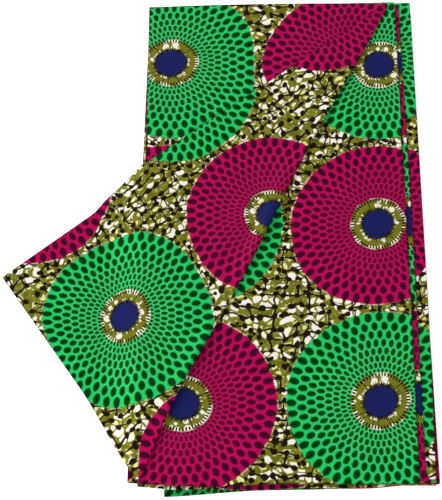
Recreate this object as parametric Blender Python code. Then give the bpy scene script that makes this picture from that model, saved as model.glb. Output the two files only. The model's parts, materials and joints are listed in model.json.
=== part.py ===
"""A cut of wax print cotton, folded into a long flat band, with its top ply turned over along a diagonal.

Lengths are in metres. While it is built, X runs from the band's left edge, Y from its front edge and Z up from the
table. At the end the whole cloth is moved so that the middle of its box stands over the origin.
"""

import math

import bmesh
import bpy
from mathutils import Vector

MM = 0.001
GAP = 0.3 * MM

# The band and the plies that lie in it, from the table up
BAND_WIDTH = 275 * MM
BAND_LENGTH = 549 * MM
PLY_WALL = 1.2 * MM
STACK_HEIGHT = 10.1 * MM

# The turned ply: its wall, the air inside its fold, and the roll along the diagonal
TURNED_WALL = 1.0 * MM
FOLD_AIR = 0.6 * MM
FOLD_RADIUS = (TURNED_WALL + FOLD_AIR) / 2

# Where the diagonal fold starts and ends, and how long the cloth takes to fall from the band to the table
FOLD_FRONT = Vector((0.6, 1.6)) * MM
FOLD_BACK = Vector((268.0, 547.8)) * MM
FALL_LENGTH = 47 * MM
FALL_START = 2 * MM

# Every outline has its corners rounded by this much, and this many points along its front and its other sides
CORNER_ROUND = 2.5 * MM
FRONT_STEPS = 22
SIDE_STEPS = 8

# How far each ply's corners lie from the band's own, to the right and to the back in mm, and how far its right side
# bows out at its middle
PLIES = {
    #              front left    front right  back right    back left    bow
    "lowest_ply": ((27.0, -9.8), (18.5, 2.6), (12.0, -3.0), (2.0, -9.0), 0.0),
    "outer_ply": ((0.8, 1.0), (16.6, 1.8), (18.6, 0.6), (0.6, -5.8), 0.2),
    "inner_ply": ((1.6, 3.0), (4.4, 3.6), (5.2, -1.6), (1.0, -7.4), 0.7),
    "upper_ply": ((0.0, 2.1), (-2.2, 3.1), (0.8, 0.0), (0.4, -6.2), 0.7),
}

# The bundles of plies in the hidden stack, from the lowest up, with the same columns
BUNDLES = (
    ((-10.2, 3.4), (16.0, 1.4), (14.6, -2.5), (0.8, -6.5), 0.0),
    ((0.9, 1.8), (15.2, 0.4), (16.4, -1.5), (-0.4, -5.0), 0.6),
    ((-0.2, 0.6), (16.3, 0.0), (15.0, -0.2), (1.2, -4.0), -0.5),
    ((0.8, 2.2), (14.6, 2.0), (17.2, -1.0), (0.2, -5.6), 0.4),
    ((0.2, 1.3), (15.8, 2.3), (16.0, 0.2), (0.9, -4.4), 0.0),
)

# Where the front edges swell forwards: middle, half width and depth in mm
FRONT_SWELLS = {
    "lowest_ply": ((150, 115, -5.0),),
    "outer_ply": ((70, 80, 4.6), (232, 26, 2.2)),
    "inner_ply": ((66, 78, 4.8),),
    "upper_ply": ((66, 80, 5.6), (190, 60, 1.2)),
    "folded_stack": ((64, 60, 5.4), (150, 90, 3.6), (233, 24, 3.4)),
}

# Where the diagonal fold bows to the left: middle and half width as shares of its length, and depth in mm
FOLD_SWELLS = ((0.16, 0.17, 6.0), (0.62, 0.28, 2.6))

# The turned ply's back edge, where it lies face up: its left end, its rise to the right, and its bow
BACK_EDGE_LEFT = 543.0 * MM
BACK_EDGE_RISE = 5.0 * MM
BACK_EDGE_BOW = 1.2 * MM

# The flap beyond the band's left edge, which falls and lies on the table: its tip, where its two edges leave the
# band, and how far each edge draws in while the cloth falls
FLAP_TIP = Vector((-146.2, 221.7)) * MM
FLAP_UPPER_START = 345.4 * MM
FLAP_LOWER_START = 2.0 * MM
FLAP_UPPER_DRAW = -7.8 * MM
FLAP_LOWER_DRAW = 13.6 * MM
FLAP_SETTLE = 50 * MM

# Rows of the turned ply: face up, round the roll, and turned over, and columns on the band and on the flap
FACE_ROWS, ROLL_ROWS, TURNED_ROWS = 3, 6, 3
BAND_COLUMNS, FLAP_COLUMNS = 24, 20

# The flap's columns stand closer together where the cloth falls
COLUMN_CROWDING = 1.25

# The colours that stand out most in each ply's print
GREEN = (0.02, 0.55, 0.12)
MAGENTA = (0.50, 0.01, 0.10)
OLIVE = (0.24, 0.23, 0.04)


def swell(position, swells):
    """Sum of smooth bumps, each one a raised cosine with its middle, half width and depth."""
    total = 0.0
    for middle, half_width, depth in swells:
        reach = abs(position - middle) / half_width
        if reach < 1:
            total += depth * (0.5 + 0.5 * math.cos(math.pi * reach))
    return total


def side(start, end, count, bow=0.0, swells=()):
    """Points from start to end. A bow pushes the middle out, and swells push stretches of it out."""
    along = end - start
    outward = Vector((along.y, -along.x)).normalized()
    inner_start = start + along.normalized() * CORNER_ROUND
    inner_end = end - along.normalized() * CORNER_ROUND
    points = []
    for step in range(count + 1):
        share = step / count
        point = inner_start.lerp(inner_end, share)
        push = bow * 4 * share * (1 - share) + swell(point.x / MM, swells)
        points.append(point + outward * push * MM)
    return points


def outline(offsets, bow, swells):
    """A ply's outline, anticlockwise from the front left, with each corner rounded."""
    band = [(0, 0), (BAND_WIDTH, 0), (BAND_WIDTH, BAND_LENGTH), (0, BAND_LENGTH)]
    corners = [Vector(corner) + Vector(offset) * MM for corner, offset in zip(band, offsets)]
    front_left, front_right, back_right, back_left = corners
    sides = [
        side(front_left, front_right, FRONT_STEPS, swells=swells),
        side(front_right, back_right, SIDE_STEPS, bow=bow),
        side(back_right, back_left, SIDE_STEPS),
        side(back_left, front_left, SIDE_STEPS),
    ]
    points = []
    for index, edge in enumerate(sides):
        following = sides[(index + 1) % 4]
        points += edge
        points.append((edge[-1] + following[0]) / 4 + corners[(index + 1) % 4] / 2)
    return points


def inset(points, depth):
    """The outline moved inwards by depth."""
    moved = []
    for index, point in enumerate(points):
        along = points[(index + 1) % len(points)] - points[index - 1]
        moved.append(point - Vector((along.y, -along.x)).normalized() * depth)
    return moved


def lofted(name, rings, colour):
    """A closed solid through rings, each an outline and a height, from the lowest up."""
    mesh = bmesh.new()
    loops = [[mesh.verts.new((*point, height)) for point in points] for points, height in rings]
    mesh.faces.new(reversed(loops[0]))
    mesh.faces.new(loops[-1])
    for lower, upper in zip(loops, loops[1:]):
        for index in range(len(lower)):
            corner = index - 1
            mesh.faces.new((lower[corner], lower[index], upper[index], upper[corner]))
    return finished(name, mesh, colour)


def finished(name, mesh, colour):
    """The object made from a bmesh, with its own material."""
    data = bpy.data.meshes.new(name)
    bmesh.ops.recalc_face_normals(mesh, faces=mesh.faces)
    mesh.to_mesh(data)
    mesh.free()
    cotton = bpy.data.materials.new(name + "_cotton")
    cotton.use_nodes = True
    surface = cotton.node_tree.nodes["Principled BSDF"]
    surface.inputs["Base Color"].default_value = (*colour, 1)
    surface.inputs["Roughness"].default_value = 0.7
    surface.inputs["Metallic"].default_value = 0.0
    data.materials.append(cotton)
    data.shade_smooth()
    data.set_sharp_from_angle(angle=math.radians(40))
    solid = bpy.data.objects.new(name, data)
    bpy.context.scene.collection.objects.link(solid)
    return solid


def half_round(points, floor, height, angles):
    """Rings of one rounded edge: the outline is fullest at half height and drawn in above and below."""
    radius = height / 2
    rings = []
    for degrees in angles:
        angle = math.radians(degrees)
        rings.append((inset(points, radius * (1 - math.cos(angle))), floor + radius * (1 + math.sin(angle))))
    return rings


def ply(name, floor, colour):
    """A flat ply of the band, its folded edges rounded."""
    *offsets, bow = PLIES[name]
    points = outline(offsets, bow, FRONT_SWELLS[name])
    return lofted(name, half_round(points, floor, PLY_WALL, (-90, -40, 0, 40, 90)), colour)


def folded_stack(floor):
    """The hidden layers: one solid whose sides are the rounded folds of its bundles."""
    height = STACK_HEIGHT / len(BUNDLES)
    rings = []
    for level, (*offsets, bow) in enumerate(BUNDLES):
        swells = FRONT_SWELLS["folded_stack"] if level > 1 else ()
        points = outline(offsets, bow, swells)
        rings += half_round(points, floor + level * height, height, (-66, -22, 22, 66))
    first, last = rings[0], rings[-1]
    rings[0] = (first[0], floor)
    rings[-1] = (last[0], floor + STACK_HEIGHT)
    return lofted("folded_stack", rings, OLIVE)


def fold_point(share):
    """A point on the diagonal fold, from the front left corner of the band to its back right."""
    along = FOLD_BACK - FOLD_FRONT
    leftward = Vector((-along.y, along.x)).normalized()
    return FOLD_FRONT + along * share + leftward * swell(share, FOLD_SWELLS) * MM


def fold_outward(share):
    """The direction across the fold, to the right."""
    along = fold_point(min(share + 0.01, 1)) - fold_point(max(share - 0.01, 0))
    return Vector((along.y, -along.x)).normalized()


def back_edge(x):
    """The back edge of the turned ply where it still lies face up."""
    share = x / FOLD_BACK.x
    return BACK_EDGE_LEFT + BACK_EDGE_RISE * share + BACK_EDGE_BOW * math.sin(math.pi * share)


def turned_edge(x):
    """The long cut edge that lies across the band, from the fold's back end to the band's left edge."""
    share = x / FOLD_BACK.x
    return FLAP_UPPER_START + (FOLD_BACK.y - FLAP_UPPER_START) * share


def smooth_step(share):
    share = min(max(share, 0), 1)
    return share * share * (3 - 2 * share)


def flap_edges(x):
    """The lowest and highest Y of the flap at x, beyond the band's left edge. Near the band the cloth is falling, so
    both edges draw towards each other there."""
    reach = x / FLAP_TIP.x
    settled = smooth_step(-x / FLAP_SETTLE)
    edges = []
    for start, draw in ((FLAP_LOWER_START, FLAP_LOWER_DRAW), (FLAP_UPPER_START, FLAP_UPPER_DRAW)):
        edges.append(start + draw * settled + (FLAP_TIP.y - start - draw) * reach)
    return edges


def fall(x):
    """Share of the way up from the table, and its slope: quick at first, with a long soft landing."""
    share = min(max((FALL_START - x) / FALL_LENGTH, 0), 1)
    height = (1 - share) ** 3 * (1 + 3 * share)
    slope = 12 * share * (1 - share) ** 2 / FALL_LENGTH
    return height, slope


def turned_ply(floor):
    """The top ply as one bent wall: face up at the left, rolled over along the diagonal, and down to the table."""
    lower_middle = floor + TURNED_WALL / 2
    upper_middle = lower_middle + 2 * FOLD_RADIUS
    table_middle = TURNED_WALL / 2
    roll_end = FACE_ROWS + ROLL_ROWS
    last_row = roll_end + TURNED_ROWS
    points = {}

    def turned_point(x, y):
        height, slope = fall(x)
        rise = upper_middle - table_middle
        return Vector((x, y, table_middle + rise * height)), Vector((-slope * rise, 0, 1)).normalized()

    for column in range(BAND_COLUMNS + 1):
        share = column / BAND_COLUMNS
        fold = fold_point(share)
        outward = fold_outward(share)
        for row in range(FACE_ROWS + 1):
            y = back_edge(fold.x) + (fold.y - back_edge(fold.x)) * row / FACE_ROWS
            points[column, row] = (Vector((fold.x, y, lower_middle)), Vector((0, 0, -1)))
        for step in range(1, ROLL_ROWS):
            angle = math.pi * (step / ROLL_ROWS - 0.5)
            normal = Vector((*(outward * math.cos(angle)), math.sin(angle)))
            middle = Vector((*fold, lower_middle + FOLD_RADIUS))
            points[column, FACE_ROWS + step] = (middle + normal * FOLD_RADIUS, normal)
        for row in range(TURNED_ROWS + 1):
            y = fold.y + (turned_edge(fold.x) - fold.y) * row / TURNED_ROWS
            points[column, roll_end + row] = turned_point(fold.x, y)
    for column in range(1, FLAP_COLUMNS + 1):
        x = FOLD_FRONT.x + (FLAP_TIP.x - FOLD_FRONT.x) * (column / FLAP_COLUMNS) ** COLUMN_CROWDING
        lower, upper = flap_edges(min(x, 0))
        for row in range(TURNED_ROWS + 1):
            points[-column, roll_end + row] = turned_point(x, lower + (upper - lower) * row / TURNED_ROWS)
    cells = [(column, row) for column in range(BAND_COLUMNS) for row in range(last_row)]
    cells += [(-column, row) for column in range(1, FLAP_COLUMNS + 1) for row in range(roll_end, last_row)]
    return wall("turned_ply", points, cells, TURNED_WALL, GREEN)


def wall(name, points, cells, thickness, colour):
    """A closed wall round a bent sheet: points hold its middle and the way it faces, cells its squares."""
    mesh = bmesh.new()
    skins = []
    for facing in (thickness / 2, -thickness / 2):
        skins.append({key: mesh.verts.new(place + way * facing) for key, (place, way) in points.items()})
    edges = {}
    for column, row in cells:
        square = ((column, row), (column + 1, row), (column + 1, row + 1), (column, row + 1))
        mesh.faces.new([skins[0][key] for key in square])
        mesh.faces.new([skins[1][key] for key in reversed(square)])
        for start, end in zip(square, square[1:] + square[:1]):
            edges[start, end] = True
    for start, end in edges:
        if (end, start) not in edges:
            mesh.faces.new((skins[0][end], skins[0][start], skins[1][start], skins[1][end]))
    bmesh.ops.remove_doubles(mesh, verts=mesh.verts, dist=0.01 * MM)
    return finished(name, mesh, colour)


def stand_on_origin(solids):
    """Moves the whole cloth so that the middle of its box stands over the origin."""
    places = [vertex.co for solid in solids for vertex in solid.data.vertices]
    middle_x = (min(place.x for place in places) + max(place.x for place in places)) / 2
    middle_y = (min(place.y for place in places) + max(place.y for place in places)) / 2
    for solid in solids:
        solid.location = (-middle_x, -middle_y, 0)


def build():
    for leftover in list(bpy.data.objects):
        bpy.data.objects.remove(leftover)
    solids = [ply("lowest_ply", 0, MAGENTA)]
    height = PLY_WALL + GAP
    solids.append(folded_stack(height))
    height += STACK_HEIGHT + GAP
    for name, colour in (("outer_ply", OLIVE), ("inner_ply", MAGENTA), ("upper_ply", GREEN)):
        solids.append(ply(name, height, colour))
        height += PLY_WALL + GAP
    solids.append(turned_ply(height))
    stand_on_origin(solids)


build()
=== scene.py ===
"""The looks of a folded cut of wax print cotton, a flat band with its top ply turned over on a diagonal."""

import json
import math

import bpy
import numpy as np
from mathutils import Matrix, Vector

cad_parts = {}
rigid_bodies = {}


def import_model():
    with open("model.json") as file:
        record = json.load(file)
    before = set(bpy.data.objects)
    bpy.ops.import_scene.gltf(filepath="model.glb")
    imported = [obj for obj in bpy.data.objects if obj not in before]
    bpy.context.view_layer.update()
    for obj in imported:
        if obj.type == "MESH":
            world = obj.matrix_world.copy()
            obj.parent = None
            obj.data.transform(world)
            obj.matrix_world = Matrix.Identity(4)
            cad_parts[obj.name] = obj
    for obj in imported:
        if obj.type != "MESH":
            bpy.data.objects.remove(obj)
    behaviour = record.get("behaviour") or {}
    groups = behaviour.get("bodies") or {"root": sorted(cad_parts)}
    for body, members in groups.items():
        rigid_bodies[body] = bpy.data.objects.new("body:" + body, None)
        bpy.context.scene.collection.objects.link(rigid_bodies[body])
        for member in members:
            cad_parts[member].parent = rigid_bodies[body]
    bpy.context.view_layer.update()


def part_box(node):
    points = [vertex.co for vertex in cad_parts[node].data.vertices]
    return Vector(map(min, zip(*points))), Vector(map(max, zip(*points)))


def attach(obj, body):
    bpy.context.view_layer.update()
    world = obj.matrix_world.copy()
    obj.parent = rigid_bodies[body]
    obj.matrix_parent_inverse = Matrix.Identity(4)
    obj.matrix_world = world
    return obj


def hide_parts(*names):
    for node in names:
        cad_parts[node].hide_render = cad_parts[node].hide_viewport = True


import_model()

# The set. The cloth lies on a sheet of white card that glows a little, painted light that washes out the
# shadows on it, under an even white sky. A large soft box stands high behind it at the left, a weaker one at
# the right, and a small low one in front at the left. The camera looks down on it from in front, 24 degrees
# off straight down.
MM = 0.001
CAMERA_LENS = 100.15
CAMERA_DISTANCE = 1.437
CAMERA_TILT = math.radians(24)
LOOKED_AT = Vector((0.0072046, -0.0249308, 0.0175))
SKY_STRENGTH = 0.46
CARD_HALF = 6
CARD_GLOW = 0.6


def linear(code):
    """An sRGB hex colour as the linear colour that Blender's sockets take."""
    parts = [int(code[place : place + 2], 16) / 255 for place in (1, 3, 5)]
    return [part / 12.92 if part <= 0.04045 else ((part + 0.055) / 1.055) ** 2.4 for part in parts] + [1.0]


def add(tree, kind, *values, out=0, **settings):
    """Adds a node with its settings, links or sets its inputs in order, and gives one of its outputs or, for
    None, the node. A word after the kind is its operation."""
    kind, _, operation = kind.partition(" ")
    node = tree.nodes.new("ShaderNode" + kind if hasattr(bpy.types, "ShaderNode" + kind) else kind)
    if operation:
        node.operation = operation
    for setting, value in settings.items():
        setattr(node, setting, value)
    for socket, value in zip([socket for socket in node.inputs if socket.enabled], values):
        if isinstance(value, bpy.types.NodeSocket):
            tree.links.new(value, socket)
        elif value is not None:
            socket.default_value = value
    if out is None:
        return node
    if isinstance(out, int):
        return [socket for socket in node.outputs if socket.enabled][out]
    return node.outputs[out]


camera_data = bpy.data.cameras.new("camera")
camera_data.lens = CAMERA_LENS
camera_data.sensor_width = 36.0
camera = bpy.data.objects.new("camera", camera_data)
bpy.context.scene.collection.objects.link(camera)
towards_camera = Vector((0, -math.sin(CAMERA_TILT), math.cos(CAMERA_TILT)))
camera.location = LOOKED_AT + towards_camera * CAMERA_DISTANCE
camera.rotation_euler = towards_camera.to_track_quat("Z", "Y").to_euler()
bpy.context.scene.camera = camera

bpy.context.scene.view_settings.view_transform = "Standard"
sky = bpy.data.worlds.new("white_sky")
sky.use_nodes = True
sky.node_tree.nodes["Background"].inputs["Color"].default_value = linear("#FFFFFF")
sky.node_tree.nodes["Background"].inputs["Strength"].default_value = SKY_STRENGTH
bpy.context.scene.world = sky

for name, place, size, power in (
    ("key_softbox", (-2.0, 2.7, 2.1), 2.0, 117.0),
    ("fill_softbox", (1.3, -0.5, 1.7), 1.6, 4.0),
    ("low_front_softbox", (-0.65, -1.4, 0.6), 0.8, 12.0),
):
    lamp_data = bpy.data.lights.new(name, "AREA")
    lamp_data.size = size
    lamp_data.energy = power
    lamp = bpy.data.objects.new(name, lamp_data)
    lamp.location = place
    lamp.rotation_euler = Vector(place).to_track_quat("Z", "Y").to_euler()
    bpy.context.scene.collection.objects.link(lamp)

card_mesh = bpy.data.meshes.new("white_card")
corners = [(x * CARD_HALF, y * CARD_HALF, 0) for x, y in ((-1, -1), (1, -1), (1, 1), (-1, 1))]
card_mesh.from_pydata(corners, [], [(0, 1, 2, 3)])
card = bpy.data.objects.new("white_card", card_mesh)
bpy.context.scene.collection.objects.link(card)
paper = bpy.data.materials.new("matt_white_card")
paper.use_nodes = True
paper_surface = paper.node_tree.nodes["Principled BSDF"]
paper_surface.inputs["Base Color"].default_value = linear("#F7F7F7")
paper_surface.inputs["Roughness"].default_value = 0.9
paper_surface.inputs["Specular IOR Level"].default_value = 0.2
# The card glows: painted light that lifts the shadows on it to white
paper_surface.inputs["Emission Color"].default_value = linear("#FFFFFF")
paper_surface.inputs["Emission Strength"].default_value = CARD_GLOW
card_mesh.materials.append(paper)

# The cloth: plain woven cotton, wax printed on both faces, so it has no wrong side, and calendered to a
# slight glaze. The print is a common one: discs of staggered dots in two colours, on a ground of twigs
# with knots. Every pattern is drawn in metres on the cloth, in each piece's own UV map named print.
REPEAT = 194
DISC_PITCH = REPEAT * MM
DISC_RADIUS = 92.5 * MM
DOTS_ROUND = 48
RIM_RING = 0.94
RING_RATE = 8.09
RING_SLOWING = 1.387

cotton = bpy.data.materials.new("wax_print_cotton")
cotton.use_nodes = True
printed = cotton.node_tree
cloth = add(printed, "UVMap", uv_map="print")


def noise(scale, detail, roughness=0.5, **settings):
    """Blender's noise over the cloth, with about as many waves in a metre as the scale says."""
    return add(printed, "TexNoise", cloth, scale, detail, roughness, 2.0, 0.0, **settings)


def sway(scale, detail=0.0):
    """Noise that moves places to and fro."""
    return noise(scale, detail, out="Color", normalize=False)


def moved(place, by, reach):
    """A place moved by a sway, as far as the reach says in the place's own unit."""
    return add(printed, "VectorMath MULTIPLY_ADD", by, (reach, reach, 0), place)


def laid(strength, under, over):
    """One colour laid over another."""
    return add(printed, "Mix", strength, under, over, data_type="RGBA")


# The drawing is by hand, so every line wanders by about a millimetre
shiver = sway(210.0)
drawn = moved(moved(cloth, sway(17.0, 1.0), 1.4 * MM), shiver, 0.45 * MM)

# Where a point lies in its disc: its share of the radius, and its turn round the centre
shifted = add(printed, "VectorMath ADD", drawn, (DISC_PITCH / 2, DISC_PITCH / 2, 0))
centre = add(printed, "VectorMath SNAP", shifted, (DISC_PITCH, DISC_PITCH, 1))
away = add(printed, "VectorMath SUBTRACT", drawn, centre)
reach = add(printed, "VectorMath LENGTH", away)
share = add(printed, "Math DIVIDE", reach, DISC_RADIUS)
away_parts = add(printed, "SeparateXYZ", away, out=None)
bearing = add(printed, "Math ARCTAN2", away_parts.outputs[1], away_parts.outputs[0])
turn = add(printed, "Math DIVIDE", bearing, 2 * math.pi)
place_count = add(printed, "VectorMath DOT_PRODUCT", centre, (1 / DISC_PITCH, 1 / DISC_PITCH, 0))
is_magenta = add(printed, "Math GREATER_THAN", add(printed, "Math PINGPONG", place_count, 1.0), 0.5)

# The rings of dots crowd towards the centre, and each ring is turned by half a dot from the next
depth = add(printed, "Math LOGARITHM", add(printed, "Math DIVIDE", RIM_RING, share), math.e)
mean_rate = add(printed, "Math MULTIPLY_ADD", depth, -RING_SLOWING, RING_RATE)
ring = add(printed, "Math MULTIPLY", depth, mean_rate)
ring_rate = add(printed, "Math MULTIPLY_ADD", depth, -2 * RING_SLOWING, RING_RATE)
ring_step = add(printed, "Math DIVIDE", reach, ring_rate)
dot_step = add(printed, "Math MULTIPLY", reach, 2 * math.pi / DOTS_ROUND)
dot_count = add(printed, "Math MULTIPLY", turn, DOTS_ROUND)
off_even_ring = add(printed, "Math PINGPONG", ring, 1.0)
off_odd_ring = add(printed, "Math SUBTRACT", 1.0, off_even_ring)
off_even_dot = add(printed, "Math PINGPONG", dot_count, 0.5)
off_odd_dot = add(printed, "Math SUBTRACT", 0.5, off_even_dot)
dot_length = add(printed, "Math MULTIPLY_ADD", ring, -0.009, 0.51)
dot_width = add(printed, "Math MULTIPLY_ADD", is_magenta, -0.018, 0.322)
dots = []
distances = []
for off_ring, off_dot in ((off_even_ring, off_even_dot), (off_odd_ring, off_odd_dot)):
    oval = add(
        printed,
        "CombineXYZ",
        add(printed, "Math DIVIDE", off_ring, dot_length),
        add(printed, "Math DIVIDE", off_dot, dot_width),
    )
    dots.append(add(printed, "VectorMath LENGTH", oval))
    flat = add(
        printed,
        "CombineXYZ",
        add(printed, "Math MULTIPLY", off_ring, ring_step),
        add(printed, "Math MULTIPLY", off_dot, dot_step),
    )
    distances.append(add(printed, "VectorMath LENGTH", flat))
dot = add(printed, "Math MINIMUM", *dots)
in_dot = add(printed, "MapRange", dot, 0.86, 1.14, 1.0, 0.0)
in_heart = add(printed, "MapRange", dot, 0.3, 0.8, 1.0, 0.0)

# Pale lines run between the dots, where the wax cracked open, and show most near the centre
between_rings = add(printed, "Math ABSOLUTE", add(printed, "Math SUBTRACT", *distances))
even_is_nearer = add(printed, "Math LESS_THAN", *distances)
half_or_none = add(printed, "Math MULTIPLY", even_is_nearer, 0.5)
between_dots = add(printed, "Math ABSOLUTE", add(printed, "Math SUBTRACT", off_even_dot, half_or_none))
between_dots = add(printed, "Math MULTIPLY", add(printed, "Math MULTIPLY", between_dots, dot_step), 2.0)
nearest_line = add(printed, "Math MINIMUM", between_rings, between_dots)
on_line = add(printed, "MapRange", nearest_line, 0.15 * MM, 0.7 * MM, 1.0, 0.0)
line_strength = add(printed, "MapRange", share, 0.5, 0.98, 0.72, 0.35)
on_line = add(printed, "Math MULTIPLY", on_line, line_strength)

# Green discs and magenta discs
inward = add(printed, "MapRange", share, 0.35, 0.9, 1.0, 0.0)
outer_disc = laid(is_magenta, linear("#17C45E"), linear("#B40353"))
inner_disc = laid(is_magenta, linear("#1DB45A"), linear("#9E0749"))
line_colour = laid(is_magenta, linear("#70CC93"), linear("#A22A60"))
outer_dot = laid(is_magenta, linear("#00420A"), linear("#4E0024"))
inner_dot = laid(is_magenta, linear("#004A06"), linear("#6C002B"))
dot_heart = laid(is_magenta, linear("#042B15"), linear("#280D24"))
outer_rings = add(printed, "MapRange", ring, 1.0, 5.0, 0.85, 0.0)
heart_strength = add(printed, "Math MULTIPLY", in_heart, outer_rings)
dot_colour = laid(heart_strength, laid(inward, outer_dot, inner_dot), dot_heart)
disc = laid(on_line, laid(inward, outer_disc, inner_disc), line_colour)
disc = laid(in_dot, disc, dot_colour)

# The ground: dark knots in chains, which run side by side and bend together, and rounded patches, white,
# yellow or olive, drawn out along the chains. Each cell of a bent grid holds one knot, and each cell of a
# finer pattern one patch, which its neighbours may cut flat. Patches, knots and twigs are sized in shares
# of a cell.
KNOT_PITCH = 11.0 * MM
PATCHES_ALONG, PATCHES_ACROSS = 1.1, 1.25
SMALLEST_PATCH, LARGEST_PATCH = 0.28, 0.66
PALE_ABOVE, WHITE_ABOVE = 0.47, 0.12
ground = moved(moved(cloth, sway(15.0), 8.0 * MM), sway(42.0), 4.5 * MM)
ground = moved(ground, shiver, 0.8 * MM)
ground = add(printed, "VectorMath SCALE", ground, 1 / KNOT_PITCH)
patchy = moved(ground, sway(60.0, 1.0), 0.3)
patchy = add(printed, "VectorMath MULTIPLY", patchy, (PATCHES_ALONG, PATCHES_ACROSS, 0))
voronoi = (printed, "TexVoronoi", patchy, 1.0, 0.0, 0.5, 2.0, 1.0)
patch = add(*voronoi, out=None, feature="F1", voronoi_dimensions="2D")
to_edge = add(*voronoi, feature="DISTANCE_TO_EDGE", voronoi_dimensions="2D")
patch_kinds = add(printed, "SeparateXYZ", patch.outputs["Color"], out=None)
patch_reach = add(printed, "MapRange", patch_kinds.outputs[1], 0.0, 1.0, SMALLEST_PATCH, LARGEST_PATCH)
past_patch = add(
    printed,
    "Math SMOOTH_MAX",
    add(printed, "Math SUBTRACT", 0.07, to_edge),
    add(printed, "Math SUBTRACT", patch.outputs["Distance"], patch_reach),
    0.12,
)
in_patch = add(printed, "MapRange", past_patch, -0.03, 0.03, 1.0, 0.0)
patch_heart = add(printed, "MapRange", past_patch, -0.07, -0.02, 1.0, 0.0)
pale_kind = add(printed, "Math GREATER_THAN", patch_kinds.outputs[0], PALE_ABOVE)
white_kind = add(printed, "Math GREATER_THAN", patch_kinds.outputs[1], WHITE_ABOVE)
spotted_kind = add(printed, "Math COMPARE", patch_kinds.outputs[0], 0.22, 0.14)
tone = noise(130.0, 1.0)
tone = add(printed, "MapRange", tone, 0.45, 0.55, 0.0, 1.0)
earth = laid(tone, linear("#6A6916"), linear("#7E7D22"))
vein = add(printed, "MapRange", to_edge, 0.02, 0.06, 0.35, 0.0)
earth = laid(vein, earth, linear("#2C2B0A"))
yellow = linear("#E2DE92")
pale_patch = laid(white_kind, linear("#EDE9B8"), linear("#F4ECE6"))
pale_patch = laid(patch_heart, yellow, pale_patch)
spot_inside = add(printed, "MapRange", past_patch, -0.2, -0.14, 1.0, 0.0)
spotted = add(printed, "Math MULTIPLY", spot_inside, spotted_kind)
earth = laid(spotted, earth, yellow)
in_pale_patch = add(printed, "Math MULTIPLY", in_patch, pale_kind)
earth = laid(in_pale_patch, earth, pale_patch)

# Each knot lies somewhere in its own cell. Twigs join it to the next ones where chance says so, mostly
# along its chain, and now and then across to the next chain. Both fade out between two distances.
KNOT_INSET = (0.1, 0.1, 0)
KNOT_SLIP = (0.55, 0.5, 0)
KNOT_EDGE = (0.25, 0.312)
TWIG_EDGE = (0.066, 0.12)
TWIG_CHANCE, CROSSING_CHANCE = 0.62, 0.36
grid_corner = add(printed, "VectorMath FLOOR", ground)
knots = {}
for knot_step in ((0, 0), (1, 0), (0, 1), (1, 1), (-1, 0), (0, -1)):
    corner = add(printed, "VectorMath ADD", grid_corner, (*knot_step, 0))
    chance = add(printed, "TexWhiteNoise", corner, out="Color")
    inset = add(printed, "VectorMath ADD", corner, KNOT_INSET)
    knots[knot_step] = add(printed, "VectorMath MULTIPLY_ADD", chance, KNOT_SLIP, inset)
twiggy = moved(ground, sway(105.0), 0.2)
dark = None
beside_twig = None
for start, end, share_joined in (
    ((-1, 0), (0, 0), TWIG_CHANCE),
    ((0, 0), (1, 0), TWIG_CHANCE),
    ((0, -1), (0, 0), CROSSING_CHANCE),
    ((0, 0), (0, 1), CROSSING_CHANCE),
):
    off_start = add(printed, "VectorMath SUBTRACT", twiggy, knots[start])
    to_end = add(printed, "VectorMath SUBTRACT", knots[end], knots[start])
    along = add(
        printed,
        "Math DIVIDE",
        add(printed, "VectorMath DOT_PRODUCT", off_start, to_end),
        add(printed, "VectorMath DOT_PRODUCT", to_end, to_end),
    )
    on_way = add(printed, "VectorMath SCALE", to_end, add(printed, "Clamp", along, 0.0, 1.0))
    off_twig = add(printed, "VectorMath DISTANCE", off_start, on_way)
    joined = add(printed, "TexWhiteNoise", add(printed, "VectorMath ADD", knots[start], knots[end]))
    is_joined = add(printed, "Math LESS_THAN", joined, share_joined)
    twig = add(printed, "Math MULTIPLY", add(printed, "MapRange", off_twig, *TWIG_EDGE, 1.0, 0.0), is_joined)
    dark = add(printed, "Math MAXIMUM", dark, twig) if dark else twig
    halo = add(printed, "Math MULTIPLY", add(printed, "MapRange", off_twig, 0.13, 0.2, 1.0, 0.0), is_joined)
    beside_twig = add(printed, "Math MAXIMUM", beside_twig, halo) if beside_twig else halo
for knot_step in ((0, 0), (1, 0), (0, 1), (1, 1)):
    knot = add(printed, "VectorMath DISTANCE", ground, knots[knot_step])
    knot = add(printed, "MapRange", knot, *KNOT_EDGE, 1.0, 0.0)
    dark = add(printed, "Math MAXIMUM", dark, knot)

# Pale slivers run beside some twigs, and pale specks lie all over the ground, where the wax cracked
broken = noise(120.0, 1.0)
sliver = add(printed, "Math MULTIPLY", beside_twig, add(printed, "MapRange", broken, 0.53, 0.59, 0.0, 0.7))
specks = add(printed, "MapRange", noise(270.0, 1.0), 0.64, 0.7, 0.0, 0.8)
earth = laid(add(printed, "Math MAXIMUM", sliver, specks), earth, linear("#EAE6B4"))

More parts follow.
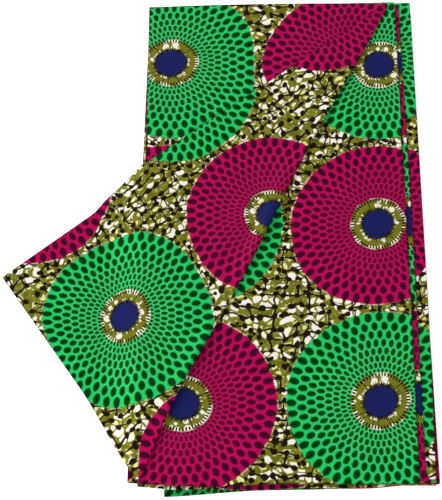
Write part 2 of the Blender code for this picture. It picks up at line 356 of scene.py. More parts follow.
# A stalk grows from most of the dots on a disc's rim, out over the ground to a bud of its own
SHORTEST_STALK, LONGEST_STALK = 5.0 * MM, 9.5 * MM
MOST_LEAN = 0.45
NO_STALK_CHANCE = 0.2
TWIG_BLACK = linear("#1B140A")
rim_dot = add(printed, "Math ROUND", dot_count)
rim_key = add(printed, "CombineXYZ", rim_dot, place_count, add(printed, "SeparateXYZ", centre))
rim_chance = add(printed, "TexWhiteNoise", rim_key, out="Color")
rim_chances = add(printed, "SeparateXYZ", rim_chance, out=None)
aside = add(printed, "Math MULTIPLY", add(printed, "Math SUBTRACT", dot_count, rim_dot), dot_step)
outside = add(printed, "Math SUBTRACT", reach, DISC_RADIUS)
wide_parts = add(printed, "SeparateXYZ", add(printed, "VectorMath ABSOLUTE", away), out=None)
widest = add(printed, "Math MAXIMUM", wide_parts.outputs[0], wide_parts.outputs[1])
cell_reach = add(printed, "Math MULTIPLY", add(printed, "Math DIVIDE", reach, widest), DISC_PITCH / 2)
room = add(printed, "Math SUBTRACT", cell_reach, DISC_RADIUS + 0.5 * MM)
rim_length = add(printed, "MapRange", rim_chances.outputs[0], 0.0, 1.0, SHORTEST_STALK, LONGEST_STALK)
rim_length = add(printed, "Math MINIMUM", rim_length, room)
rim_slant = add(printed, "MapRange", rim_chances.outputs[1], 0.0, 1.0, -MOST_LEAN, MOST_LEAN)
lean = add(printed, "Math MULTIPLY", rim_slant, add(printed, "Math MAXIMUM", outside, 0.0))
off_stalk = add(printed, "Math ABSOLUTE", add(printed, "Math SUBTRACT", aside, lean))
stalk = add(printed, "MapRange", off_stalk, 0.45 * MM, 0.9 * MM, 1.0, 0.0)
stalk = add(printed, "Math MULTIPLY", stalk, add(printed, "Math LESS_THAN", outside, rim_length))
past_dot = add(printed, "MapRange", outside, -2.6 * MM, -1.6 * MM, 0.0, 1.0)
stalk = add(printed, "Math MULTIPLY", stalk, past_dot)
bud = add(
    printed,
    "CombineXYZ",
    add(printed, "Math SUBTRACT", aside, add(printed, "Math MULTIPLY", rim_slant, rim_length)),
    add(printed, "Math SUBTRACT", outside, rim_length),
)
bud = add(printed, "MapRange", add(printed, "VectorMath LENGTH", bud), 1.7 * MM, 2.3 * MM, 1.0, 0.0)
growth = add(
    printed,
    "Math MULTIPLY",
    add(printed, "Math MAXIMUM", stalk, bud),
    add(printed, "Math GREATER_THAN", rim_chances.outputs[2], NO_STALK_CHANCE),
)
earth = laid(dark, earth, TWIG_BLACK)

# The middle of a disc: navy with a black rim and teeth, an olive ring with cream patches and a few dark
# spokes, and a ring of black seeds. Cream shows between the teeth and between the seeds along some
# stretches. All of it is measured in shares of the disc's radius.
NAVY_SHARE, SEED_SHARE, EYE_SHARE = 0.168, 0.291, 0.312
TEETH_ROUND, SEEDS_ROUND = 62.0, 54.0
SPOKE_CHANCE = 0.11
SPOT_PITCH = 7.4 * MM
tooth_count = add(printed, "Math MULTIPLY", turn, TEETH_ROUND)
tooth = add(printed, "Math PINGPONG", tooth_count, 0.5)
tooth_key = add(printed, "CombineXYZ", add(printed, "Math ROUND", tooth_count), place_count, 1.0)
tooth_tip = add(printed, "MapRange", add(printed, "TexWhiteNoise", tooth_key), 0.0, 1.0, 0.208, 0.236)
tooth_reach = add(printed, "Math MULTIPLY_ADD", tooth, -0.1, tooth_tip)
past_tooth = add(printed, "Math SUBTRACT", share, tooth_reach)
in_tooth = add(printed, "MapRange", past_tooth, -0.005, 0.005, 1.0, 0.0)
seed_count = add(printed, "Math MULTIPLY", turn, SEEDS_ROUND)
seed_place = add(printed, "Math PINGPONG", seed_count, 0.5)
in_seed = add(printed, "MapRange", seed_place, 0.21, 0.33, 1.0, 0.0)
seed_inset = add(printed, "Math ABSOLUTE", add(printed, "Math SUBTRACT", share, SEED_SHARE))
in_seed = add(printed, "Math MULTIPLY", in_seed, add(printed, "MapRange", seed_inset, 0.015, 0.022, 1.0, 0.0))
seed_key = add(printed, "CombineXYZ", add(printed, "Math ROUND", seed_count), place_count, 3.0)
has_spoke = add(printed, "Math LESS_THAN", add(printed, "TexWhiteNoise", seed_key), SPOKE_CHANCE)
spoke = add(printed, "MapRange", seed_place, 0.1, 0.2, 1.0, 0.0)
spoke = add(printed, "Math MULTIPLY", spoke, has_spoke)
spoke = add(printed, "Math MULTIPLY", spoke, add(printed, "Math COMPARE", share, 0.25, 0.04))
stretches = noise(85.0, 0.0)
tooth_gap = add(printed, "CombineXYZ", add(printed, "Math FLOOR", tooth_count), place_count, 2.0)
tooth_gap = add(printed, "Math ADD", add(printed, "TexWhiteNoise", tooth_gap), stretches)
beside_teeth = add(printed, "Math COMPARE", share, 0.202, 0.013)
beside_teeth = add(printed, "Math MULTIPLY", beside_teeth, add(printed, "Math GREATER_THAN", tooth_gap, 1.2))
beside_seeds = add(printed, "Math COMPARE", share, 0.294, 0.02)
seed_stretches = add(printed, "MapRange", stretches, 0.39, 0.43, 1.0, 0.0)
beside_seeds = add(printed, "Math MULTIPLY", beside_seeds, seed_stretches)
round_ring = add(
    printed, "CombineXYZ", add(printed, "Math MULTIPLY", bearing, 0.25 * DISC_RADIUS), reach, place_count
)
spots = add(printed, "TexVoronoi", round_ring, 1 / SPOT_PITCH, 0.0, 0.5, 2.0, 0.9, out=None, feature="F1")
spot_size = add(printed, "MapRange", spots.outputs["Color"], 0.25, 0.85, 0.0, 0.58)
spot = add(printed, "Math SUBTRACT", spots.outputs["Distance"], spot_size)
spot = add(printed, "MapRange", spot, -0.05, 0.04, 1.0, 0.0)
spot = add(printed, "Math MULTIPLY", spot, add(printed, "Math COMPARE", share, 0.256, 0.056))
pale = add(printed, "Math MAXIMUM", spot, add(printed, "Math MAXIMUM", beside_teeth, beside_seeds))
eye = laid(pale, linear("#73721A"), linear("#F2EDD2"))
in_black = add(printed, "Math MAXIMUM", add(printed, "Math MAXIMUM", in_tooth, in_seed), spoke)
eye = laid(in_black, eye, linear("#0E0C08"))
in_navy = add(printed, "MapRange", share, NAVY_SHARE - 0.006, NAVY_SHARE + 0.006, 1.0, 0.0)
eye = laid(in_navy, eye, linear("#191F58"))
in_eye = add(printed, "MapRange", share, EYE_SHARE - 0.003, EYE_SHARE + 0.003, 1.0, 0.0)
disc = laid(in_eye, disc, eye)
eye_line = add(printed, "Math ABSOLUTE", add(printed, "Math SUBTRACT", share, EYE_SHARE + 0.005))
eye_line = add(printed, "MapRange", eye_line, 0.001, 0.006, 1.0, 0.0)
eye_line = add(printed, "Math MULTIPLY", eye_line, add(printed, "MapRange", stretches, 0.4, 0.52, 0.75, 0.0))
disc = laid(eye_line, disc, linear("#DCE0C4"))

# Disc over ground, with a thin cream line along parts of the rim, and the rim's stalks over both
rim_wave = noise(95.0, 1.0, normalize=False)
waved_share = add(printed, "Math MULTIPLY_ADD", rim_wave, 0.02, share)
in_disc = add(printed, "MapRange", waved_share, 0.996, 1.004, 1.0, 0.0)
rim_line = add(printed, "Math ABSOLUTE", add(printed, "Math SUBTRACT", outside, 0.5 * MM))
rim_strength = add(printed, "MapRange", is_magenta, 0.0, 1.0, 0.35, 0.6)
rim_line = add(printed, "MapRange", rim_line, 0.3 * MM, 0.9 * MM, rim_strength, 0.0)
rim_line = add(printed, "Math MULTIPLY", rim_line, add(printed, "MapRange", stretches, 0.42, 0.52, 1.0, 0.0))
earth = laid(rim_line, earth, linear("#F2DCC0"))
colour = laid(in_disc, earth, disc)
colour = laid(growth, colour, TWIG_BLACK)

# At a fold or a cut edge the cloth turns down, and shade is painted there as a darker colour, for about a
# millimetre
EDGE_SHADE = 0.6
edge = add(printed, "Attribute", out="Fac", attribute_name="edge")
edge = add(printed, "MapRange", edge, 0.8 * EDGE_SHADE, EDGE_SHADE, 0.0, EDGE_SHADE)
colour = laid(edge, colour, linear("#140A0A"))

# The dye takes a little unevenly, and threads show as a faint grain. The real threads lie 0.35 mm apart,
# which is too fine to see, so they are drawn further apart and very low.
THREAD_PITCH = 1.1 * MM
THREAD_HEIGHT = 0.12 * MM
dye = add(printed, "MapRange", noise(24.0, 3.0, 0.55), 0.3, 0.7, 0.95, 1.04)
colour = add(printed, "Mix", 1.0, colour, dye, data_type="RGBA", blend_type="MULTIPLY")
thread_scale = 1 / THREAD_PITCH / 20 * math.pi
thread_waves = [
    add(printed, "TexWave", cloth, thread_scale, 0.6, 1.0, 1.0, 0.5, out="Fac", bands_direction=direction)
    for direction in ("X", "Y")
]
weave = add(printed, "Math MULTIPLY", *thread_waves)
slub = noise(420.0, 2.0, 0.6)
weave = add(printed, "Math MULTIPLY_ADD", slub, 0.7, weave)
relief = add(printed, "Bump", 0.22, THREAD_HEIGHT, 0.1, weave)
gloss = add(printed, "MapRange", slub, 0.2, 0.8, 0.56, 0.7)

cotton_surface = printed.nodes["Principled BSDF"]
cotton_surface.inputs["Specular IOR Level"].default_value = 0.03
cotton_surface.inputs["Sheen Weight"].default_value = 0.005
cotton_surface.inputs["Sheen Roughness"].default_value = 0.4
printed.links.new(colour, cotton_surface.inputs["Base Color"])
printed.links.new(gloss, cotton_surface.inputs["Roughness"])
printed.links.new(relief, cotton_surface.inputs["Normal"])

# How the cloth lies. The plies are pressed flat, with a few soft creases left from being carried. The band's
# plies share them, less and less towards the table, so that none cuts into the next.
BAND_CORNER = Vector((-0.0736954, -0.2699308))
BAND_HEIGHT = 19 * MM
# Each crease has its middle, its direction in degrees, its half length, its half width and its height, in mm
# from the band's front left corner
BAND_CREASES = (
    (60, 470, 12, 70, 16, 0.5),
    (150, 505, -20, 60, 14, -0.4),
    (215, 400, 76, 95, 13, 0.55),
    (250, 300, 84, 120, 10, -0.4),
    (190, 215, 18, 80, 20, 0.5),
    (130, 120, -8, 90, 16, -0.45),
    (225, 90, 60, 60, 15, 0.5),
    (60, 60, 25, 55, 14, 0.4),
    (80, 250, 62, 110, 15, 0.6),
    (120, 350, 40, 80, 16, -0.5),
    (30, 380, 80, 60, 12, -0.35),
    (275, 180, 88, 70, 9, 0.45),
    (278, 440, 90, 60, 8, 0.35),
)
FLAP_CREASES = (
    (-52, 250, 35, 42, 9, 0.9),
    (-70, 190, 20, 48, 11, 1.2),
    (-48, 120, -28, 40, 10, 1.0),
    (-96, 215, 8, 34, 10, 0.8),
    (-34, 60, -50, 30, 8, 0.8),
    (142, 324, 64, 42, 14, 0.9),
    (213, 519, 64, 45, 16, 1.0),
)


def raised(distance):
    """A smooth bump, 1 in its middle and 0 from a distance of 1 on."""
    return 0.5 + 0.5 * math.cos(math.pi * distance) if abs(distance) < 1 else 0.0


def creased(x, y, creases):
    """Height at a place of the band, in metres, of creases that fade out at their ends and sides."""
    total = 0.0
    for middle_x, middle_y, degrees, half_length, half_width, height in creases:
        angle = math.radians(degrees)
        across_x, across_y = x / MM - middle_x, y / MM - middle_y
        along = (across_x * math.cos(angle) + across_y * math.sin(angle)) / half_length
        aside = (across_y * math.cos(angle) - across_x * math.sin(angle)) / half_width
        total += height * raised(along) * raised(aside)
    return total * MM


def lie(place):
    """The place with the band's creases, which lift it by its share of the band's height."""
    x, y, z = place
    return Vector((x, y, z * (1 + creased(x, y, BAND_CREASES) / BAND_HEIGHT)))


# How much the cloth resists following its print's anchors exactly
PRINT_STIFFNESS = 400.0
# Directions round a shell's rim, in degrees, from its face to its back
RIM_ANGLES = (90, 54, 18, -18, -54, -90)


def bending(offsets):
    """How far each point bends a thin plate, for offsets in mm."""
    squared = (offsets**2).sum(-1)
    return squared * np.log(squared + 1e-9) / 2


def fitted_print(anchors):
    """Places on the print for places on the band. The anchors are disc centres and points of their rims, in
    mm, with their columns and rows, and the cloth between them stretches as a thin plate bends."""
    seen = np.array([[x, y] for x, y, _, _ in anchors], float)
    counted = np.array([[column, row] for _, _, column, row in anchors], float)
    count = len(anchors)
    plane = np.c_[np.ones(count), seen]
    system = np.zeros((count + 3, count + 3))
    system[:count, :count] = bending(seen[:, None] - seen[None]) + PRINT_STIFFNESS * np.eye(count)
    system[:count, count:] = plane
    system[count:, :count] = plane.T
    answer = np.linalg.solve(system, np.r_[counted, np.zeros((3, 2))])

    def on_print(x, y):
        place = np.array([x, y]) / MM
        known = np.r_[bending(place - seen), 1, place]
        return Vector(known @ answer) * DISC_PITCH

    return on_print


def shell(name, points, squares, thickness, shade):
    """A closed thin shell of cloth with a rounded edge, where shade is painted as dark as the shade says.
    Each point has its middle in the band and its place on the print, and each square the keys of four
    neighbours, anticlockwise as seen from the side that it faces."""
    radius = thickness / 2
    neighbours = {key: set() for square in squares for key in square}
    facings = {key: Vector() for key in neighbours}
    directed = {}
    for square in squares:
        corners = [points[key][0] for key in square]
        faced = (corners[2] - corners[0]).cross(corners[3] - corners[1])
        for key in square:
            facings[key] += faced
        for start, end in zip(square, square[1:] + square[:1]):
            neighbours[start].add(end)
            neighbours[end].add(start)
            directed[start, end] = True
    rim_after = {start: end for start, end in directed if (end, start) not in directed}
    rim_before = {end: start for start, end in rim_after.items()}
    vertices, print_places, shades, faces, face_prints = [], [], [], [], []
    number = {}

    def put(key, level, place, print_place):
        number[key, level] = len(vertices)
        vertices.append(place)
        print_places.append(print_place)
        shades.append(shade if key in rim_after else 0.0)

    last_level = len(RIM_ANGLES) - 1
    for key in neighbours:
        place, on_print = points[key]
        facing = facings[key].normalized()
        if key not in rim_after:
            put(key, 0, place + facing * radius, on_print)
            put(key, last_level, place - facing * radius, on_print)
            continue
        run = points[rim_after[key]][0] - points[rim_before[key]][0]
        outward = run.cross(facing).normalized()
        others = [points[other][1] for other in neighbours[key]]
        print_outward = (on_print - sum(others, Vector((0, 0))) / len(others)).normalized()
        for level, degrees in enumerate(RIM_ANGLES):
            angle = math.radians(degrees)
            turned = place + outward * radius * (math.cos(angle) - 1) + facing * radius * math.sin(angle)
            put(key, level, turned, on_print + print_outward * radius * (math.pi / 2 - angle - 1))
    for square in squares:
        faces.append([number[key, 0] for key in square])
        face_prints.append([print_places[number[key, 0]] for key in square])
        faces.append([number[key, last_level] for key in reversed(square)])
        face_prints.append([points[key][1] for key in reversed(square)])
    for start, end in rim_after.items():
        for level in range(last_level):
            corners = [(end, level), (start, level), (start, level + 1), (end, level + 1)]
            faces.append([number[corner] for corner in corners])
            face_prints.append([print_places[number[corner]] for corner in corners])
    mesh = bpy.data.meshes.new(name)
    mesh.from_pydata([(*(place.xy + BAND_CORNER), place.z) for place in vertices], [], faces)
    layer = mesh.uv_layers.new(name="print")
    layer.data.foreach_set("uv", [part for face in face_prints for place in face for part in place])
    # The edge attribute carries the painted shade along the rim
    mesh.attributes.new("edge", "FLOAT", "POINT").data.foreach_set("value", shades)
    mesh.materials.append(cotton)
    mesh.shade_smooth()
    return mesh


def shown(mesh, node):
    """The finished piece: it stands for its CAD node and lies with the rest."""
    piece = bpy.data.objects.new(mesh.name, mesh)
    bpy.context.scene.collection.objects.link(piece)
    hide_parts(node)
    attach(piece, "root")


# The plies of the band that show: the one on the table, a little askew, and the three on the hidden
# stack. Each one is a doubled length of the cut, so its sides are folds and not raw edges.
BAND_WIDTH = 275.0
BAND_LENGTH = 549.0
CORNER_ROUND = 1.2
PLY_STEP = 6.0
# Each ply's corner offsets in mm, from the front left anticlockwise, where its right side and its front edge
# swell (middle, half width and depth), the anchors of its print, and what it rests on
PLIES = {
    "lowest_ply": (
        ((25.8, -9.8), (18.5, 3.6), (12.0, -3.0), (2.0, -9.0)),
        (),
        ((110, 75, -1.9), (225, 40, 1.4)),
        ((88, 45, 0, 0), (282, 45, 1, 0), (88, 239, 0, 1)),
        ["white_card"],
    ),
    "outer_ply": (
        ((0.8, 1.0), (16.6, 4.0), (18.6, 2.8), (0.6, -5.8)),
        ((0, 200, -2.4),),
        ((70, 80, 2.4),),
        ((240, 478, 0, 2), (229, 290, 0, 1), (215, 94, 0, 0), (21, 94, -1, 0)),
        ["folded_stack"],
    ),
    "inner_ply": (
        ((1.6, 3.0), (4.4, 1.7), (5.2, -0.8), (1.0, -7.4)),
        ((275, 275, 0.7), (0, 10, 5.5)),
        ((66, 78, 3.0),),
        ((268, 471.8, 1, 2), (273, 279.5, 1, 1), (279, 86.2, 1, 0), (85, 86.2, 0, 0)),
        ["outer_ply"],
    ),
    "upper_ply": (
        ((0.0, -0.8), (-2.2, -0.8), (0.8, 1.8), (0.4, -6.2)),
        ((275, 275, 0.7),),
        ((70, 70, 2.6),),
        (
            (254.8, 468.4, 0, 2),
            (250.0, 375.8, -0.003, 1.523),
            (244.3, 275.6, 0, 1),
            (153.6, 275.8, -0.477, 1.006),
            (194.5, 194.8, -0.239, 0.587),
            (240.4, 184.5, -0.003, 0.523),
            (238.2, 82.2, 0, 0),
            (242.5, 178.3, 0.003, 0.477),
            (144.3, 82.2, -0.477, 0.006),
            (155.3, 37.7, -0.420, -0.226),
            (42.9, 79.6, -1, 0),
            (136.5, 79.8, -0.523, -0.006),
            (97.4, 156.0, -0.731, 0.393),
            (146.3, 274.2, -0.523, 0.998),
            (142.1, 254.1, -0.534, 0.897),
            (122.9, 215.3, -0.625, 0.706),
        ),
        ["inner_ply"],
    ),
}


def swell(position, swells):
    """Sum of smooth bumps, each with its middle, half width and depth."""
    return sum(height * raised((position - middle) / half_width) for middle, half_width, height in swells)


def spaced(length, step):
    """Distances from 0 to length, closer together at both ends, for a ply's grid."""
    edge = [0.0, 0.6, 1.4, 2.5, 4.5]
    inner_length = length - 2 * edge[-1]
    inner_count = max(2, round(inner_length / step))
    inner = [edge[-1] + inner_length * count / inner_count for count in range(1, inner_count)]
    return edge + inner + [length - distance for distance in reversed(edge)]


def grid_square(column, row):
    """The keys of the corners of a grid's square, anticlockwise."""
    return ((column, row), (column + 1, row), (column + 1, row + 1), (column, row + 1))


def ply_mesh(name, offsets, side_swells, swells, on_print, floor, height, step, shade):
    """A flat ply of the band as a shell: its outline comes from its corners, and its corners are rounded."""
    band = ((0, 0), (BAND_WIDTH, 0), (BAND_WIDTH, BAND_LENGTH), (0, BAND_LENGTH))
    front_left, front_right, back_right, back_left = (
        Vector(corner) + Vector(offset) for corner, offset in zip(band, offsets)
    )
    across, lengthways = spaced(BAND_WIDTH, step), spaced(BAND_LENGTH, step)
    points = {}
    for column, right in enumerate(across):
        for row, back in enumerate(lengthways):
            from_left, from_front = right, back
            near_x, near_y = min(right, BAND_WIDTH - right), min(back, BAND_LENGTH - back)
            in_x, in_y = CORNER_ROUND - near_x, CORNER_ROUND - near_y
            if in_x > 0 and in_y > 0:
                pull = max(in_x, in_y) / math.hypot(in_x, in_y)
                moved_x, moved_y = in_x * (1 - pull), in_y * (1 - pull)
                from_left += moved_x if right < BAND_WIDTH / 2 else -moved_x
                from_front += moved_y if back < BAND_LENGTH / 2 else -moved_y
            s, t = from_left / BAND_WIDTH, from_front / BAND_LENGTH
            place = front_left.lerp(front_right, s).lerp(back_left.lerp(back_right, s), t)
            place.x += swell(place.y, side_swells) * s
            place.y -= swell(place.x, swells) * (1 - t)
            place = place * MM
            points[column, row] = (lie((*place, floor + height / 2)), on_print(*place))
    squares = [
        grid_square(column, row) for column in range(len(across) - 1) for row in range(len(lengthways) - 1)
    ]
    return shell(name, points, squares, height, shade)


for name, (offsets, side_swells, swells, anchors, rests_on) in PLIES.items():
    low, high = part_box(name)
    on_print = fitted_print(anchors)
    thickness = high.z - low.z
    mesh = ply_mesh(
        name + "_cloth", offsets, side_swells, swells, on_print, low.z, thickness, PLY_STEP, EDGE_SHADE
    )
    shown(mesh, name)

# The hidden plies between them: ten thick folds, two to a bundle, each bundle pushed a little out of line
# with the next, as the cut was folded in four across and ten along. Only their folds show.
PLIES_EACH = 2
FOLD_STEP = 24.0
FOLD_FILL = 0.95
# Each bundle's corner offsets and the swells of its right side and its front edge, from the lowest up
BUNDLES = (
    (((-10.2, 3.4), (16.0, 1.4), (14.6, -2.5), (0.8, -6.5)), (), ()),
    (((0.9, 1.8), (15.2, 0.4), (16.4, -1.5), (-0.4, -5.0)), ((170, 120, 0.9), (430, 90, -0.8)), ()),
    (
        ((-0.2, 0.6), (16.3, 0.6), (15.0, -0.2), (1.2, -4.0)),
        ((110, 90, -0.9), (360, 130, 0.7)),
        ((64, 60, 3.0), (150, 80, 1.6)),
    ),
    (((0.8, 1.2), (17.6, 1.2), (15.5, -1.0), (0.2, -5.6)), (), ((64, 60, 3.0), (200, 60, 1.8))),
    (
        ((0.2, -1.5), (14.4, 2.2), (16.0, 0.2), (0.9, -4.4)),
        (),
        ((45, 60, 4.2), (118, 75, 5.4), (200, 62, 4.4), (235, 28, 2.0)),
    ),
)
# Where a green disc's centre lies in each bundle's print
BUNDLE_PRINTS = ((124, 76), (120, 100), (30, 95), (56, 60), (314, 83))

stack_low, stack_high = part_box("folded_stack")
ply_height = (stack_high.z - stack_low.z) / (len(BUNDLES) * PLIES_EACH)
folds = bpy.data.collections.new("stack_folds")
for level, ((offsets, side_swells, swells), (disc_x, disc_y)) in enumerate(zip(BUNDLES, BUNDLE_PRINTS)):
    name = "fold_%d" % level
    anchors = ((disc_x, disc_y, 0, 0), (disc_x + REPEAT, disc_y, 1, 0), (disc_x, disc_y + REPEAT, 0, 1))
    on_print = fitted_print(anchors)
    thickness = ply_height * FOLD_FILL
    fold = ply_mesh(name, offsets, side_swells, swells, on_print, 0, thickness, FOLD_STEP, 0.0)
    folds.objects.link(bpy.data.objects.new(name, fold))

places = bpy.data.meshes.new("stack_places")
count = len(BUNDLES) * PLIES_EACH
places.from_pydata([(0, 0, stack_low.z + ply_height * level) for level in range(count)], [], [])
bundle_numbers = places.attributes.new("bundle", "INT", "POINT")
bundle_numbers.data.foreach_set("value", [level // PLIES_EACH for level in range(count)])
stack = bpy.data.objects.new("folded_stack_cloth", places)
bpy.context.scene.collection.objects.link(stack)

stacking = bpy.data.node_groups.new("stacked_folds", "GeometryNodeTree")
stacking.interface.new_socket("Geometry", in_out="INPUT", socket_type="NodeSocketGeometry")
for label, kind in (
    ("Folds", "NodeSocketCollection"),
    ("Slip", "NodeSocketFloat"),
    ("Print slip", "NodeSocketFloat"),
    ("Seed", "NodeSocketInt"),
):
    stacking.interface.new_socket(label, in_out="INPUT", socket_type=kind)
stacking.interface.new_socket("Geometry", in_out="OUTPUT", socket_type="NodeSocketGeometry")
given = add(stacking, "NodeGroupInput", out=None)
picked = add(stacking, "GeometryNodeCollectionInfo", given.outputs["Folds"], True, True)
bundle = add(stacking, "GeometryNodeInputNamedAttribute", "bundle", data_type="INT")
slip = add(stacking, "VectorMath SCALE", (1.0, 1.0, 0.0), given.outputs["Slip"])
back_slip = add(stacking, "VectorMath SCALE", slip, -1.0)
seed = given.outputs["Seed"]
shift = add(stacking, "FunctionNodeRandomValue", back_slip, slip, None, seed, data_type="FLOAT_VECTOR")
slipped = add(stacking, "GeometryNodeSetPosition", given.outputs["Geometry"], True, None, shift)
print_span = add(stacking, "VectorMath SCALE", (1.0, 1.0, 0.0), given.outputs["Print slip"])
print_shift = add(
    stacking, "FunctionNodeRandomValue", (0, 0, 0), print_span, None, seed, data_type="FLOAT_VECTOR"
)
store = (stacking, "GeometryNodeStoreNamedAttribute")
marked = add(*store, slipped, True, "print_shift", print_shift, data_type="FLOAT_VECTOR")
stacked = add(stacking, "GeometryNodeInstanceOnPoints", marked, True, picked, True, bundle)
realized = add(stacking, "GeometryNodeRealizeInstances", stacked)
own_print = add(stacking, "GeometryNodeInputNamedAttribute", "print", data_type="FLOAT_VECTOR")
own_shift = add(stacking, "GeometryNodeInputNamedAttribute", "print_shift", data_type="FLOAT_VECTOR")
new_print = add(stacking, "VectorMath ADD", own_print, own_shift)
reprinted = add(*store, realized, True, "print", new_print, data_type="FLOAT2", domain="CORNER")
dressed = add(stacking, "GeometryNodeSetMaterial", reprinted, True, cotton)
add(stacking, "NodeGroupOutput", dressed, out=None)
modifier = stack.modifiers.new("stacked_folds", "NODES")
modifier.node_group = stacking
sizes = {"Folds": folds, "Slip": 0.6 * MM, "Print slip": 3 * MM, "Seed": 7}
for item in stacking.interface.items_tree:
    if item.in_out == "INPUT" and item.name in sizes:
        modifier[item.identifier] = sizes[item.name]
bpy.context.view_layer.update()
stack_mesh = bpy.data.meshes.new_from_object(stack.evaluated_get(bpy.context.evaluated_depsgraph_get()))
stack_mesh.name = "folded_stack_cloth"
bpy.data.objects.remove(stack)
for leftover in list(folds.objects):
    bpy.data.objects.remove(leftover)
bpy.data.collections.remove(folds)
corner = Vector((*BAND_CORNER, 0))
for vertex in stack_mesh.vertices:
    vertex.co = corner + lie(vertex.co - corner)
stack_mesh.shade_smooth()
shown(stack_mesh, "folded_stack")

# The top ply: one layer, face up at the upper left, rolled over along the diagonal, lying turned over
# across the band, and falling over the band's left edge to the table, where its corner lies flat with a
# few soft ripples.

# All in mm: the fold's ends and bows, how loosely it is rolled and over what width that eases, how the
# ply's back edge runs, how the flap falls and draws in, the wall, its gap to the ply below, and the
# fold's tightest radius
FOLD_FRONT = Vector((0.6, 1.6))
FOLD_BACK = Vector((268.0, 547.8))
FOLD_SWELLS = ((0.14, 0.14, 3.0), (0.25, 0.28, 4.6), (0.64, 0.31, 4.8))
FOLD_LOOSE = ((0.2, 0.2, 2.0), (0.48, 0.15, 2.2), (0.76, 0.2, 0.9))
FOLD_EASE = 15.0
BACK_START, BACK_RISE, BACK_BOW = 543.0, 5.0, 2.0
FLAP_TIP = Vector((-146.2, 221.7))
FLAP_UPPER_START, FLAP_UPPER_DRAW = 345.4, -7.8
FLAP_UPPER_SWELLS = ((-30, 27, 5.0), (-42, 14, 2.4), (-7, 9, 1.4))
FLAP_LOWER_START, FLAP_LOWER_DRAW = 2.0, 13.6
FLAP_LOWER_SWELLS = ((-38, 22, -2.8), (-22, 14, -1.6))
FALL_START, FALL_LENGTH, FLAP_SETTLE = 2.0, 47.0, 50.0
TURNED_WALL = 1.0
TURNED_GAP = 0.3
FOLD_RADIUS = 0.8
# The grid: its rows and columns, how its rows crowd towards the fold, and the shares of the fold's length
# and of the flap's reach where it ends, just short of the points
FACE_ROWS, ROLL_ROWS, TURNED_ROWS = 44, 12, 76
BAND_COLUMNS, FLAP_COLUMNS = 90, 52
TURNED_CROWDING = 1.5
FOLD_REACH, FLAP_REACH = 0.996, 0.9975
FACE_ANCHORS = (
    (25.3, 470.0, 0, 0),
    (118.0, 473.8, 0.476, 0.019),
    (118.5, 440.8, 0.456, -0.139),
    (108.8, 521.8, 0.405, 0.251),
    (25.5, 377.0, 0, -0.477),
    (25.5, 276.0, 0, -1),
    (127.0, 470.0, 0.523, 0),
    (128.1, 450.9, 0.531, -0.088),
    (147.8, 523.2, 0.604, 0.266),
    (158.0, 534.4, 0.653, 0.327),
    (219.5, 470.0, 1, 0),
)
TURNED_ANCHORS = (
    (134.6, 283.6, 1, 0),
    (136.0, 375.2, 0.721, 0.386),
    (71.5, 348.3, 1.080, 0.470),
    (44.8, 283.4, 1.397, 0.264),
    (70.4, 219.3, 1.468, -0.089),
    (-17.2, 174.5, 2, 0),
    (-41.9, 173.9, 2.128, 0.078),
    (9.0, 176.7, 1.869, -0.072),
    (-11.2, 203.2, 1.891, 0.103),
    (-23.9, 146.3, 2.116, -0.095),
    (30.3, 92.5, 2.034, -0.476),
    (73.9, 171.3, 1.615, -0.282),
    (28.1, 254.3, 1.566, 0.198),
    (-66.2, 243.3, 2.001, 0.477),
    (-45.9, 258.1, 1.873, 0.459),
    (-102.8, 184.9, 2.365, 0.307),
    (-96.3, 203.9, 2.277, 0.388),
    (-82.0, 231.2, 2.112, 0.463),
    (-88.2, 138.9, 2.474, 0.048),
    (-48.1, 85.6, 2.389, -0.275),
    (-17.5, 79.3, 2.270, -0.390),
    (15.9, 84.7, 2.104, -0.465),
    (27.4, 443.0, 1, 1),
    (58.6, 350.6, 1.134, 0.542),
    (106.7, 395.1, 0.800, 0.567),
    (116.7, 422.3, 0.673, 0.653),
    (189.7, 551.7, 0, 1),
    (189.3, 459.7, 0.275, 0.611),
    (-123.0, 332.0, 2, 1),
    (-124.7, 236.8, 2.284, 0.617),
    (-104.7, 238.5, 2.189, 0.562),
    (-87.1, 243.3, 2.094, 0.533),
    (-63.8, 258.1, 1.952, 0.526),
    (-53.7, 268.0, 1.885, 0.537),
    (-44.4, 291.9, 1.777, 0.578),
    (94.0, 8.0, 2, -1),
    (1.6, 22.1, 2.353, -0.679),
    (20.9, 77.5, 2.099, -0.534),
)


def fold_point(along):
    """A point on the diagonal fold, from the front left corner of the band to its back right."""
    run = FOLD_BACK - FOLD_FRONT
    leftward = Vector((-run.y, run.x)).normalized()
    return FOLD_FRONT + run * along + leftward * swell(along, FOLD_SWELLS)


def smooth_step(value):
    """Rises softly from 0 at 0 to 1 at 1."""
    value = min(max(value, 0), 1)
    return value * value * (3 - 2 * value)


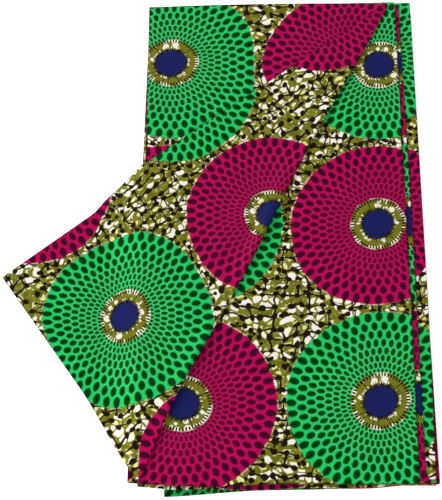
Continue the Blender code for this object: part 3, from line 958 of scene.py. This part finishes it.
def turned_mesh(floor):
    """The whole top ply as one shell."""
    face_print, turned_print = fitted_print(FACE_ANCHORS), fitted_print(TURNED_ANCHORS)
    lower = floor / MM + TURNED_WALL / 2
    upper = lower + 2 * FOLD_RADIUS
    table = TURNED_WALL / 2
    roll_end = FACE_ROWS + ROLL_ROWS
    last_row = roll_end + TURNED_ROWS
    crossings = [(row / TURNED_ROWS) ** TURNED_CROWDING for row in range(TURNED_ROWS + 1)]
    points = {}

    def turned_point(x, y, rise=0.0):
        """A point of the turned face, on the band or falling to the table, and its place on the print."""
        down = min(max((FALL_START - x) / FALL_LENGTH, 0), 1)
        height = (1 - down) ** 3 * (1 + 3 * down)
        place = lie(Vector((x, y, table + rise + (upper - table) * height)) * MM)
        place.z += creased(x * MM, y * MM, FLAP_CREASES)
        return place, turned_print(x * MM, y * MM)

    for column in range(BAND_COLUMNS + 1):
        along = FOLD_REACH * column / BAND_COLUMNS
        fold = fold_point(along)
        run = fold_point(min(along + 0.01, 1)) - fold_point(max(along - 0.01, 0))
        outward = Vector((run.y, -run.x)).normalized()
        share = fold.x / FOLD_BACK.x
        back = Vector((fold.x, BACK_START + BACK_RISE * share + BACK_BOW * math.sin(math.pi * share)))
        turned_edge = Vector((fold.x, FLAP_UPPER_START + (FOLD_BACK.y - FLAP_UPPER_START) * share))
        loose = swell(along, FOLD_LOOSE)
        radius = FOLD_RADIUS + loose
        seat = fold - outward * loose
        for row in range(FACE_ROWS + 1):
            place = back.lerp(seat, row / FACE_ROWS)
            points[column, row] = (lie(Vector((*place, lower)) * MM), face_print(*(place * MM)))
        for step in range(1, ROLL_ROWS):
            angle = math.pi * (step / ROLL_ROWS - 0.5)
            height = lower + radius * (1 + math.sin(angle))
            place = Vector((*(seat + outward * radius * math.cos(angle)), height))
            beyond = seat + outward * radius * (math.pi / 2 - angle)
            points[column, FACE_ROWS + step] = (lie(place * MM), turned_print(*(beyond * MM)))
        for row, crossing in enumerate(crossings):
            place = seat.lerp(turned_edge, crossing)
            eased = smooth_step((seat - place).dot(outward) / FOLD_EASE)
            points[column, roll_end + row] = turned_point(*place, 2 * loose * (1 - eased))
    for column in range(1, FLAP_COLUMNS + 1):
        x = FOLD_FRONT.x + (FLAP_TIP.x * FLAP_REACH - FOLD_FRONT.x) * column / FLAP_COLUMNS
        settled = smooth_step(-min(x, 0) / FLAP_SETTLE)
        out = min(x, 0) / FLAP_TIP.x
        low, high = (
            start + draw * settled + (FLAP_TIP.y - start - draw) * out + swell(x, swells)
            for start, draw, swells in (
                (FLAP_LOWER_START, FLAP_LOWER_DRAW, FLAP_LOWER_SWELLS),
                (FLAP_UPPER_START, FLAP_UPPER_DRAW, FLAP_UPPER_SWELLS),
            )
        )
        for row, crossing in enumerate(crossings):
            points[-column, roll_end + row] = turned_point(x, low + (high - low) * crossing)
    cells = [(column, row) for column in range(BAND_COLUMNS) for row in range(last_row)]
    cells += [(-column, row) for column in range(1, FLAP_COLUMNS + 1) for row in range(roll_end, last_row)]
    squares = [grid_square(*cell) for cell in cells]
    return shell("turned_ply_cloth", points, squares, TURNED_WALL * MM, EDGE_SHADE)


top_mesh = turned_mesh(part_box("upper_ply")[1].z + TURNED_GAP * MM)
shown(top_mesh, "turned_ply")
